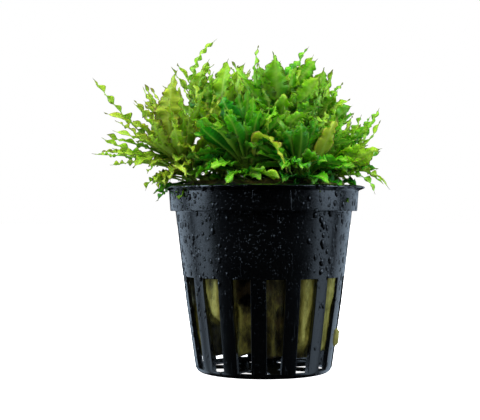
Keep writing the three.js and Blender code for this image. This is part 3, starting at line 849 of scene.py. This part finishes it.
# Young leaves: how many, the way they lean in degrees (0 is to the viewer's right, 90 away from the
# viewer), their spread to each side of it, and their least and most length
YOUNG = {
    "left": (14, 170, 60, 15, 23), "centre": (4, 90, 100, 12, 17), "front_right": (4, 60, 100, 11, 15),
    "right": (10, 20, 80, 12, 19), "middle": (15, 100, 180, 16, 24), "back_left": (17, 90, 150, 21, 29),
    "back_right": (16, 60, 150, 18, 26), "back": (18, 90, 180, 23, 30),
}


def companions(crown, head):
    loose, fused = courses[crown]
    pivot = np.array(head) * MM
    for course in loose + fused:
        for direction in (chance.choice((-1, 1)),) if crown in FANS else (-1, 1):
            spin = math.radians(direction * chance.uniform(7, 22))
            nod = math.radians(chance.uniform(-9, 6))
            yield turned(course, pivot, spin, nod, chance.uniform(0.62, 0.95))


def young(crown, head):
    count, lean, spread, *lengths = YOUNG[crown]
    for n in range(count):
        heading = math.radians(lean + 90 + spread * (2 * (n + chance.random()) / count - 1))
        yield drawn_course(head, heading, (50, 84), (-5, 25), lengths, (4.5, 7))


def fan(crown, head):
    count, low, high, least, most, width = FANS.get(crown, (0, 0, 0, 0, 0, 0))
    for n in range(count):
        slant = math.radians(low + (high - low) * (n + chance.random()) / count)
        tilt = math.radians(chance.uniform(6, 32))
        heading = math.atan2(math.sin(slant) * math.cos(tilt), math.sin(tilt))
        rise = math.asin(math.cos(slant) * math.cos(tilt))
        droop = math.radians(chance.uniform(4, 34))
        length, wide = chance.uniform(least, most), width * chance.uniform(0.85, 1.15)
        yield free_course(head, heading, rise, droop, length, wide)


COLLAR_LEAVES = 9
SKIRT_LEAVES = 14


def collar(head):
    for _ in range(COLLAR_LEAVES):
        heading = math.radians(chance.uniform(-125, 125))
        yield drawn_course(head, heading, (12, 42), (30, 62), (12, 17), (3.6, 5.2))


def skirt(root, head):
    root, head = np.array(root), np.array(head)
    first = chance.uniform(0, 2 * math.pi)
    for n in range(SKIRT_LEAVES):
        foot = root + (head - root) * chance.uniform(0.15, 0.8)
        heading = first + 2 * math.pi * (n + chance.uniform(-0.3, 0.3)) / SKIRT_LEAVES
        yield drawn_course(foot, heading, (-12, 22), (0, 40), (9, 15), (4.4, 6))


print("young leaves in all crowns:", sum(count for count, *_ in YOUNG.values()))

# %% [markdown]
# A shoot is one piece: a stem and all its small leaves, which are grown together on the real
# plant too. Each crown draws its luck from a seed of its own, so that a change to one of them
# leaves the others as they are.

# %% Shoots
FIRST_LUCK = 41
STEM_LOOKS = {"across": 0.2, "along": 0.05, "vein": 0.5, "rib": 0.6, "tone": 0.3, "olive": 0.1}
for luck, (crown, (root, head)) in enumerate(CROWNS.items(), FIRST_LUCK):
    chance.seed(luck)
    seeds = itertools.count(1000 * luck)
    heap = Heap()
    heap.add(*stem_shape(root, head), **STEM_LOOKS)
    beaded, wide = BEADED.get(crown, 0.78), WIDE.get(crown, STRAP_WIDTH)
    fan_beaded, fan_crinkled = (0.42, 0.25) if crown == "left" else (0.85, 0.5)
    # Each kind: how much darker it is painted than its crown, which is painted shade for leaves that
    # lie inside or low, most of all the skirt, where its beads start, how many columns it has, its
    # width, and where its crinkles start
    kinds = [
        (courses[crown][1], 0.0, beaded, 7, wide, 0.3),
        (companions(crown, head), 0.1, beaded, 5, wide, 0.3),
        (young(crown, head), 0.0, beaded, 5, wide, 0.3),
        (fan(crown, head), 0.08, fan_beaded, 9, 1.0, fan_crinkled),
        (collar(head), 0.1, 0.8, 7, STRAP_WIDTH, 0.5),
        (skirt(root, head), 0.35, 0.75, 5, STRAP_WIDTH, 0.3),
    ]
    for leaves, painted_shade, *form in kinds:
        for course in leaves:
            corners, faces, paint = blade(course, next(seeds), *form)
            heap.add(corners, faces, **paint, **age(crown, painted_shade))
    shoot = heap.piece(f"small_leaves_{crown}", leaf_green, "shoot", (f"shoot_{crown}",))
    print(shoot.name, sum(len(face) - 2 for face in heap.faces), "triangles")

# %% [markdown]
# The pot is one thin moulding. Its wall is a band that closes on itself: up the outside, over the
# rim and down the inside. Columns of the band follow the slats, which are straight bars, so their
# angle changes with the radius. Where a slot is, the faces are left out on both sides and the cut
# is lined. A boolean would cut the slots too, but would leave ragged faces beside them that no
# bevel can follow.

# %% Rounded outlines
EDGE_ROUND = 0.25
ROUND_STEPS = 4


def rounded(outline):
    """What lies between the first and last point of an outline, with its corners rounded."""
    points = [np.array(point, float) for point in outline]
    line = []
    for before, corner, after in zip(points, points[1:], points[2:]):
        sides = np.linalg.norm(before - corner), np.linalg.norm(after - corner)
        reach = min(EDGE_ROUND, 0.4 * sides[0], 0.4 * sides[1])
        start = corner + reach * unit(before - corner)
        end = corner + reach * unit(after - corner)
        for t in np.linspace(0, 1, ROUND_STEPS):
            line.append((1 - t) ** 2 * start + 2 * t * (1 - t) * corner + t * t * end)
    return line


print("a rounded corner has", len(rounded([(0, 0), (1, 0), (1, 1)])), "points")

# %% Pierced bands
BAR_COLUMNS = 5
GAP_COLUMNS = 11


def azimuths(bars, half_width, phase, radius):
    """Angles of the columns at a radius: a few over each bar and a few over each gap."""
    half = math.asin(half_width / max(radius, 1.05 * half_width))
    period = 2 * math.pi / bars
    angles = []
    for i in range(bars):
        centre = math.radians(phase) + i * period
        angles += [centre + half * t for t in np.linspace(-1, 1, BAR_COLUMNS)[:-1]]
        angles += [centre + half + (period - 2 * half) * t for t in np.linspace(0, 1, GAP_COLUMNS)[:-1]]
    return angles


def pierced_band(section, near, far, bars, half_width, phase, hub=None):
    """A closed section of (radius, height) rows turned about the axis, with gaps between bars.

    near and far are the first and last row of a gap on its two sides. After the row hub the band
    ends in two discs. Gives corners, faces and the edges round the gaps.
    """
    per_bar = BAR_COLUMNS + GAP_COLUMNS - 2
    around = bars * per_bar
    corners = []
    for radius, height in section:
        for angle in azimuths(bars, half_width, phase, radius):
            corners.append((radius * math.sin(angle), -radius * math.cos(angle), height))

    def corner(row, column):
        return (row % len(section)) * around + column % around

    def lining(rows, columns):
        faces.append(tuple(corner(row, column) for row, column in zip(rows, columns)))
        rims.update({frozenset(faces[-1][:2]), frozenset(faces[-1][2:])})

    faces, rims = [], set()
    for column in range(around):
        place = column % per_bar
        is_gap = place >= BAR_COLUMNS - 1
        for row in range(len(section)):
            cut = is_gap and any(first <= row < last for first, last in (near, far))
            if not cut and row != hub:
                quad = ((row, column), (row, column + 1), (row + 1, column + 1), (row + 1, column))
                faces.append(tuple(corner(*place_of) for place_of in quad))
        if is_gap:
            lining((near[0], near[0], far[1], far[1]), (column, column + 1, column + 1, column))
            lining((near[1], near[1], far[0], far[0]), (column + 1, column, column, column + 1))
        if place in (0, BAR_COLUMNS - 1):
            for k in range(near[1] - near[0]):
                rows = (near[0] + k, near[0] + k + 1, far[1] - k - 1, far[1] - k)
                rows = rows if place == 0 else (rows[1], rows[0], rows[3], rows[2])
                lining(rows, (column,) * 4)
    if hub is not None:
        faces.append(tuple(corner(hub, column) for column in range(around)))
        faces.append(tuple(corner(hub + 1, column) for column in reversed(range(around))))
    used = sorted({c for face in faces for c in face})
    number = {c: i for i, c in enumerate(used)}
    faces = [tuple(number[c] for c in face) for face in faces]
    rims = {frozenset(number[c] for c in rim) for rim in rims}
    return np.array([corners[c] for c in used]) * MM, faces, rims


print("a band of four bars has", len(azimuths(4, 2.0, 0, 20)), "columns")

# %% Soft edges
def soften(piece, rims):
    """Rounds the edges round the gaps, and shades flats as flats."""
    weights = piece.data.attributes.new("bevel_weight_edge", "FLOAT", "EDGE")
    for edge in piece.data.edges:
        weights.data[edge.index].value = float(frozenset(edge.vertices) in rims)
    bevel = piece.modifiers.new("round_edges", "BEVEL")
    bevel.limit_method = "WEIGHT"
    bevel.width = EDGE_ROUND * MM
    bevel.segments = 2
    piece.modifiers.new("even_shading", "WEIGHTED_NORMAL")


print("edges are rounded by", EDGE_ROUND, "mm")

# %% [markdown]
# The pot's section, from the photograph: a wall that widens upwards in two slopes, a ledge, a
# collar, and a thin flange with a sharp lip. The floor is a second closed body, whose edge
# sits inside the foot of the wall.

# %% Pot section
SLATS, SLAT_HALF, SLAT_PHASE = 15, 2.0, -4.7
SLOT_LOW, SLOT_HIGH = 1.4, 26.0
SPOKES, SPOKE_HALF, SPOKE_PHASE = 7, 1.9, 13
WINDOW_INNER, WINDOW_OUTER = 7.6, 16.5
SLOPE_CHANGE = 19.5
UPPER_END = 42.6


def outer_radius(height):
    return float(np.interp(height, [SLOT_LOW, SLOPE_CHANGE, 43.6], [18.7, 21.3, 24.1]))


def inner_radius(height):
    return float(np.interp(height, [1.2, SLOPE_CHANGE, 44.6], [17.4, 20.3, 23.1]))


def wall_rows(radius_at, heights):
    return [np.array((radius_at(height), height)) for height in heights]


slot_heights = [*np.linspace(SLOT_LOW, SLOPE_CHANGE, 9), *np.linspace(SLOPE_CHANGE, SLOT_HIGH, 4)[1:]]
upper_heights = np.linspace(SLOT_HIGH, UPPER_END, 9)[1:]
outside = wall_rows(outer_radius, [*slot_heights, *upper_heights])
inside = wall_rows(inner_radius, [*slot_heights, *upper_heights])[::-1]
rim = rounded([
    outside[-1], (24.1, 43.6), (25.5, 43.6), (25.9, 49.1), (27.6, 49.8), (27.5, 50.2),
    (26.3, 50.5), (25.0, 50.5), (24.6, 44.8), (23.1, 44.6), inside[0],
])
foot = rounded([inside[-1], (17.4, 1.2), (16.8, 1.2), (16.8, 0), (17.5, 0), (18.2, 0.5), outside[0]])
section = outside + rim + inside + foot
near = (0, len(slot_heights) - 1)
far_end = len(outside + rim + inside) - 1
far = (far_end - near[1], far_end)
wall_corners, wall_faces, wall_rims = pierced_band(section, near, far, SLATS, SLAT_HALF, SLAT_PHASE)

window_radii = np.linspace(WINDOW_OUTER, WINDOW_INNER, 6)
floor_top = [np.array((r, 1.2)) for r in (16.9, *window_radii, 7.2, 0.6)]
floor_low = [np.array(point) for point in [(0.6, 0), (7.0, 0), (7.2, 0.2), (7.2, 0.6)]]
floor_low += [np.array((r, 0.6)) for r in (*window_radii[::-1], 16.9)]
floor_section = floor_top + floor_low
top_gap = (1, len(window_radii))
low_start = len(floor_top) + 4
low_gap = (low_start, low_start + len(window_radii) - 1)
hub = len(floor_top) - 1
floor_corners, floor_faces, floor_rims = pierced_band(
    floor_section, top_gap, low_gap, SPOKES, SPOKE_HALF, SPOKE_PHASE, hub,
)
print("wall", len(wall_faces), "faces, floor", len(floor_faces), "faces")

# %% [markdown]
# Wet black plastic. The plastic itself is dull black with faint upright flow marks. It has just
# been sprayed, so a film of water makes it glossy, and beads of many sizes stand on it. The film
# is the shader's coat. A bead is a dome of relief: the shader scatters points in space, and where
# the surface cuts the ball round a point there is a bead, as large as the cut. The film is left
# out where a bead stands, so that the bead is a dark dot on the grey streaks with a small spark.
# The largest beads sit towards the two sides, as in the photograph, and few hang on the slats.

# %% Pot finish
def beads(finish, size, largest, offset, share):
    """Height in millimetres of scattered domes, up to largest wide, one to each cube of that size."""
    shifted = {0: finish.place(), 1: (offset, offset, 0)}
    spot = finish.node("ShaderNodeVectorMath", {"operation": "ADD"}, shifted)
    given = {"Vector": spot, "Scale": 1 / size, "Randomness": 1.0}
    near_by = finish.node("ShaderNodeTexVoronoi", {"feature": "F1"}, given, output="Distance") * size
    dice = finish.node("ShaderNodeTexVoronoi", {"feature": "F1"}, given, output="Color")
    luck = finish.node("ShaderNodeSeparateColor", {}, {0: dice})
    radius = (luck ** 2.0 * 0.75 + 0.25) * share * (0.5 * largest)
    inside_ball = (1.0 - (near_by / radius) ** 2.0).clamped()
    return inside_ball ** 0.5 * radius


def pot_finish():
    plastic = Finish("wet_black_plastic", Specular_IOR_Level=0.38, Coat_Roughness=0.22)
    place = plastic.place()
    aside = abs(plastic.node("ShaderNodeSeparateXYZ", {}, {0: place}, output="X"))
    height = plastic.node("ShaderNodeSeparateXYZ", {}, {0: place}, output="Z")
    held = height.ramp(10, 34, 0.55, 1.0) * aside.ramp(9, 17, 0.85, 1.0)
    large = beads(plastic, 1.9, 2.3, 0.0, held * aside.ramp(7, 14, 0.5, 1.3))
    medium = beads(plastic, 1.2, 1.0, 3.7, held * aside.ramp(7, 14, 0.9, 1.15))
    fine = beads(plastic, 0.6, 0.46, 7.1, held)
    drops = fine.or_higher(large.or_higher(medium))
    body = drops.ramp(0.05, 0.22)
    tracks = plastic.noise(1.1, detail=1, scale=(1, 1, 0.05)).ramp(0.66, 0.7)
    runs = plastic.noise(1.6, detail=3, scale=(1, 1, 0.12))
    haze = plastic.noise(9, detail=4)
    bumps = plastic.relief(drops * 0.9 + tracks * 0.05 + runs * 0.02, 1.0)
    black = plastic.mix(haze, colour(1, 1, 2), colour(4, 5, 6))
    film = (1.0 - body) * (0.75 + haze * 0.4)
    return plastic.feed(Base_Color=black, Roughness=0.2 + haze * 0.1, Coat_Weight=film, Normal=bumps)


wet_black = pot_finish()
heap = Heap()
heap.add(wall_corners, wall_faces)
heap.add(floor_corners, floor_faces)
pot = heap.piece("net_pot", wet_black, "pot_plastic", ("pot",))
moved_rims = {frozenset(c + len(wall_corners) for c in edge) for edge in floor_rims}
soften(pot, wall_rims | moved_rims)
print("pot", len(pot.data.polygons), "faces before its edges are rounded")

# %% [markdown]
# The plug is pressed mineral wool: a felt of fine strands that lie in upright folds, pushed out
# between the slats and drawn back behind them. Its form is taken from the solid by shooting rays
# out from the axis. Folds, the bulges and pits that the photograph shows, a sagging lower edge
# and mossy tufts on top are laid over it. A displaced cylinder could do the folds, but not
# put each pit in its slot.

# %% Plug form
WOOL_ROUND = 320
WOOL_ROWS = 90
WOOL_LOW, WOOL_HIGH = 6.2, 49.2
RAY_START, USUAL_RADIUS = 14, 16.0
wool_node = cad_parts["rockwool_plug"]
wool_solid = BVHTree.FromPolygons(
    [v.co for v in wool_node.data.vertices], [tuple(f.vertices) for f in wool_node.data.polygons],
)

# Patches that the photograph shows: middle and half width in degrees (0 faces the viewer, 90 is
# to the right), lowest and highest height, how far the wool stands out there, and how much darker
# it is painted, which is dirt and painted shade, most of it in the pits, while values below zero
# are painted highlights on pale folds
PATCHES = [
    (-92, 11, 5, 27, 0.8, 0.4), (-70, 12, 19, 28, -1.5, 0.9), (-70, 12, 4, 18, 0.5, 0.35),
    (-48, 14, 15, 28, 1.7, -0.3), (-50, 14, 4, 14, -2.0, 1.1),
    (-18, 11, 4, 28, -1.1, 0.55), (-14, 9, 19.5, 28.5, -2.8, 2.4), (8, 11, 4, 28, -1.4, 0.85),
    (-22, 2.5, 5, 22, 0.9, -0.45), (7, 2, 6, 15, 0.9, -0.5), (2, 2, 16, 26, 0.5, -0.3),
    (25, 4, 4, 28, -1.2, 1.0), (36, 9, 9, 28, 0.8, -0.2), (37, 10, 4, 8.5, -0.9, 0.7),
    (64, 12, 5, 28, 0.9, -0.2), (82, 9, 6.5, 12.5, 2.2, -0.1),
    (105, 10, 4, 28, -0.6, 0.3), (130, 13, 4, 28, -1.4, 0.8), (157, 9, 10, 28, 0.8, -0.2),
    (180, 11, 4, 28, -1.2, 0.7), (-150, 14, 4, 15, -1.5, 0.8), (-120, 12, 9, 28, 0.7, -0.2),
]


def wool_radius(angle, height):
    """Radius of the solid plug in millimetres."""
    along_ray = Vector((math.sin(angle), -math.cos(angle), 0))
    start = Vector((0, 0, height * MM)) + along_ray * RAY_START * MM
    spot, _, _, _ = wool_solid.ray_cast(start, along_ray)
    return math.hypot(spot.x, spot.y) / MM if spot else USUAL_RADIUS


def felt(x, y, z, size):
    return noise.noise(Vector((x / size, y / size, z / size)))


def patched(angle, height):
    """How far the patches push a point out, and how much dirt and painted shade they give it."""
    push = dirt = 0.0
    for middle, half, low, high, out, patch_dirt_and_shade in PATCHES:
        apart = abs((math.degrees(angle) - middle + 180) % 360 - 180)
        share = (1 - smooth(apart, half - 3, half + 2)) * smooth(height, low - 1, low + 1.5)
        share = float(share * (1 - smooth(height, high - 1.5, high + 1)))
        push += out * share
        dirt += patch_dirt_and_shade * share
    return push, dirt


print("the solid plug reaches", round(wool_radius(0, 20), 1), "mm from the axis at the front")

# %% Folds of the plug
FOLD_HEIGHT, FUZZ_HEIGHT, SUNK = 0.9, 0.2, 0.2
SLOT_BULGE, USUAL_PUSH = 0.7, 0.8
BEHIND_WALL = 0.3
MOSS_HEIGHT = 2.2


def fold(x, y, z):
    """Folds and lumps of the felt, from about -1 (a valley) to 1 (a ridge), and its fuzz."""
    drift = 1.2 * felt(x, y + 50, 0.4 * z, 5.0)
    upright = 1 - 2.6 * abs(felt(x + drift, y, 0.2 * z, 2.6))
    lumps = felt(x + 40, y, 0.7 * z, 4.0)
    return 0.6 * upright + 0.7 * lumps, felt(x, y + 90, z, 0.6)


def wool_point(angle, height):
    """A place on the side of the plug, its ridge, and its dirt and painted shade."""
    radius = wool_radius(angle, height)
    x, y = radius * math.sin(angle), -radius * math.cos(angle)
    ridge, fuzz = fold(x, y, height)
    push, dirt = patched(angle, height)
    squeeze = BEHIND_WALL if height > SLOT_HIGH + 0.5 else 1.0
    furthest = inner_radius(height) + squeeze * (SLOT_BULGE + max(0.0, push - USUAL_PUSH))
    radius = min(radius + squeeze * (FOLD_HEIGHT * ridge + FUZZ_HEIGHT * fuzz + push) - SUNK, furthest)
    return (radius * math.sin(angle), -radius * math.cos(angle), height), ridge, dirt


def sag(angle):
    """How far the lower edge of the plug hangs down, in millimetres."""
    return max(0.0, 0.7 + 2.6 * felt(9 * math.sin(angle), 9 * math.cos(angle), 5, 4.0))


def moss(x, y):
    """How high the loose tufts on top stand, in millimetres."""
    right_mound = MOSS_HEIGHT * math.exp(-((x - 17) / 6) ** 2 - ((y - 6) / 9) ** 2)
    return MOSS_HEIGHT + 1.1 * felt(x, y, 3, 3.2) + 0.6 * felt(x, y, 9, 1.1) + right_mound


print("with its folds, the front is at", [round(c, 1) for c in wool_point(0, 20)[0]])

# %% Points of the plug
TOP_RADIUS = 23.0
UNDER_SHARES = (0.3, 0.6, 0.85, 0.97)
TOP_SHARES = (0.985, 0.95, *np.linspace(0.9, 0.06, 26))


def wool_points():
    """Corners of the plug from the middle of its underside to the middle of its top."""
    angles = [2 * math.pi * j / WOOL_ROUND for j in range(WOOL_ROUND)]
    # The third number is dirt and painted shade: the underside is painted darker
    yield (0, 0, WOOL_LOW), 0.0, 0.8
    for share in UNDER_SHARES:
        for a in angles:
            lump = felt(16 * share, a * 5, 0, 1)
            edge, _, _ = wool_point(a, WOOL_LOW + 0.6)
            height = WOOL_LOW + 0.5 * lump - share**4 * sag(a)
            yield (share * edge[0], share * edge[1], height), lump, 0.6
    for height in np.linspace(WOOL_LOW + 0.6, WOOL_HIGH - 0.6, WOOL_ROWS):
        for a in angles:
            corner, ridge, dirt = wool_point(a, height)
            drop = sag(a) * (1 - float(smooth(height, WOOL_LOW + 0.6, WOOL_LOW + 5)))
            yield (*corner[:2], height - drop), ridge, dirt
    # The top is painted dark, as painted shade under the leaves, and paler towards the right
    for share in (*TOP_SHARES, 0.0):
        for a in angles if share else (0.0,):
            x, y = TOP_RADIUS * share * math.sin(a), -TOP_RADIUS * share * math.cos(a)
            lift = moss(x, y)
            height = WOOL_HIGH + min(1, (1 - share) * 12) * lift
            yield (x, y, height), lift - MOSS_HEIGHT, 0.9 - 0.8 * float(smooth(x, 8, 16))


wool_corners, wool_ridges, wool_dirt_and_shade = zip(*wool_points())
wool_faces = tube_faces(len(UNDER_SHARES) + WOOL_ROWS + len(TOP_SHARES), WOOL_ROUND)
print("plug", len(wool_faces), "faces")

# %% [markdown]
# Strands. The fuzzy edge of the felt is what tells wool from clay, so some thousands of strands of
# mesh stand off it. Blender's hair would be finer, but it isn't a mesh that can be kept.

# %% Plug strands
STRANDS_ON_SIDE = 2600
STRANDS_ON_TOP = 1500
STRAND_THICKNESS = 0.045


def strand(heap, start, ahead, length, curl, dirt):
    """A bent three-sided strand, tapering to a point."""
    start, ahead, curl = (np.array(vector, float) for vector in (start, ahead, curl))
    ahead = unit(ahead)
    side = unit(np.cross(ahead, curl + np.array([0.01, 0.02, 0.03])))
    other = np.cross(ahead, side)
    rings = []
    for t in (0.0, 0.25, 0.5, 0.75):
        middle = start + ahead * length * t + curl * length * t * t
        for turn in (0, 2.1, 4.2):
            radius = STRAND_THICKNESS * (1 - 0.6 * t)
            rings.append(middle + radius * (math.cos(turn) * side + math.sin(turn) * other))
    tip = start + ahead * length + curl * length
    heap.add(np.array([start, *rings, tip]) * MM, tube_faces(4, 3), ridge=0.7, dirt=dirt)


def spread_strands(heap):
    dice = random.Random(21)
    for _ in range(STRANDS_ON_SIDE):
        angle = dice.uniform(0, 2 * math.pi)
        height = dice.uniform(WOOL_LOW + 0.8, SLOT_HIGH + 1)
        start, _, dirt = wool_point(angle, height)
        outward = np.array([math.sin(angle), -math.cos(angle), 0])
        across = np.array([math.cos(angle), math.sin(angle), 0])
        ahead = 0.25 * outward + dice.uniform(-0.7, 0.7) * across
        ahead = ahead + dice.choice((-1, 1)) * np.array([0, 0, 1.0])
        curl = dice.uniform(-0.4, 0.4) * across - 0.1 * outward
        strand(heap, np.array(start) - 0.05 * outward, ahead, dice.uniform(0.8, 2.2), curl, dirt)
    for _ in range(STRANDS_ON_TOP):
        angle, radius = dice.uniform(0, 2 * math.pi), 22.5 * dice.random() ** 0.5
        x, y = radius * math.sin(angle), -radius * math.cos(angle)
        ahead = (dice.uniform(-1, 1), dice.uniform(-1, 1), dice.uniform(0.1, 0.9))
        curl = (dice.uniform(-0.5, 0.5), dice.uniform(-0.5, 0.5), -0.3)
        strand(heap, (x, y, WOOL_HIGH + moss(x, y) - 0.1), ahead, dice.uniform(0.8, 2.4), curl, 0.3)


print("strands to come:", STRANDS_ON_SIDE + STRANDS_ON_TOP)

# %% [markdown]
# Wool finish. Wet wool is olive brown. It is painted paler on ridges and where strands catch light,
# as painted highlights, and almost black in the folds and pits, as painted shade. Stretched noise
# gives the run of the strands, and a coarser one the stains.

# %% Plug finish
def wool_finish():
    wool = Finish("wet_rockwool", Specular_IOR_Level=0.3)
    ridge, dirt = wool.painted("ridge"), wool.painted("dirt")
    strands = wool.noise(0.35, detail=4, scale=(1, 1, 0.25), rough=0.65)
    stains = wool.noise(4.5, detail=3)
    mottle = wool.noise(1.3, detail=3, scale=(1, 1, 0.5))
    # Painted light: ridges paler, as painted highlights, valleys darker, and the patches darker by their
    # dirt and painted shade
    shade = (strands * 0.5 + mottle * 0.5 + (stains - 0.5) * 0.5 + ridge * 0.25 - dirt * 0.3).clamped()
    brown = wool.node("ShaderNodeValToRGB", {"stops": [
        (0.1, colour(12, 10, 3)), (0.34, colour(50, 47, 14)),
        (0.58, colour(98, 96, 34)), (0.86, colour(134, 131, 62)),
    ]}, {0: shade})
    # The stain colour gathers where the patches carry dirt and painted shade
    stain_and_shade_mask = (stains.ramp(0.5, 0.7) * (dirt + 0.1)).clamped()
    stained_and_shaded = wool.mix(stain_and_shade_mask, brown, colour(50, 40, 12))
    return wool.feed(
        Base_Color=stained_and_shaded, Roughness=0.75 - mottle * 0.35, Normal=wool.relief(strands, 0.25),
    )


wet_wool = wool_finish()
heap = Heap()
heap.add(np.array(wool_corners) * MM, wool_faces, ridge=wool_ridges, dirt=wool_dirt_and_shade)
spread_strands(heap)
plug = heap.piece("wool_plug", wet_wool, "rockwool", ("rockwool_plug",))
print("plug with strands", len(plug.data.polygons), "faces")

# %% The end
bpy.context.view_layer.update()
shown = [o for o in bpy.data.objects if o.type == "MESH" and not o.hide_render]
print("triangles in all", sum(len(p.vertices) - 2 for o in shown for p in o.data.polygons))
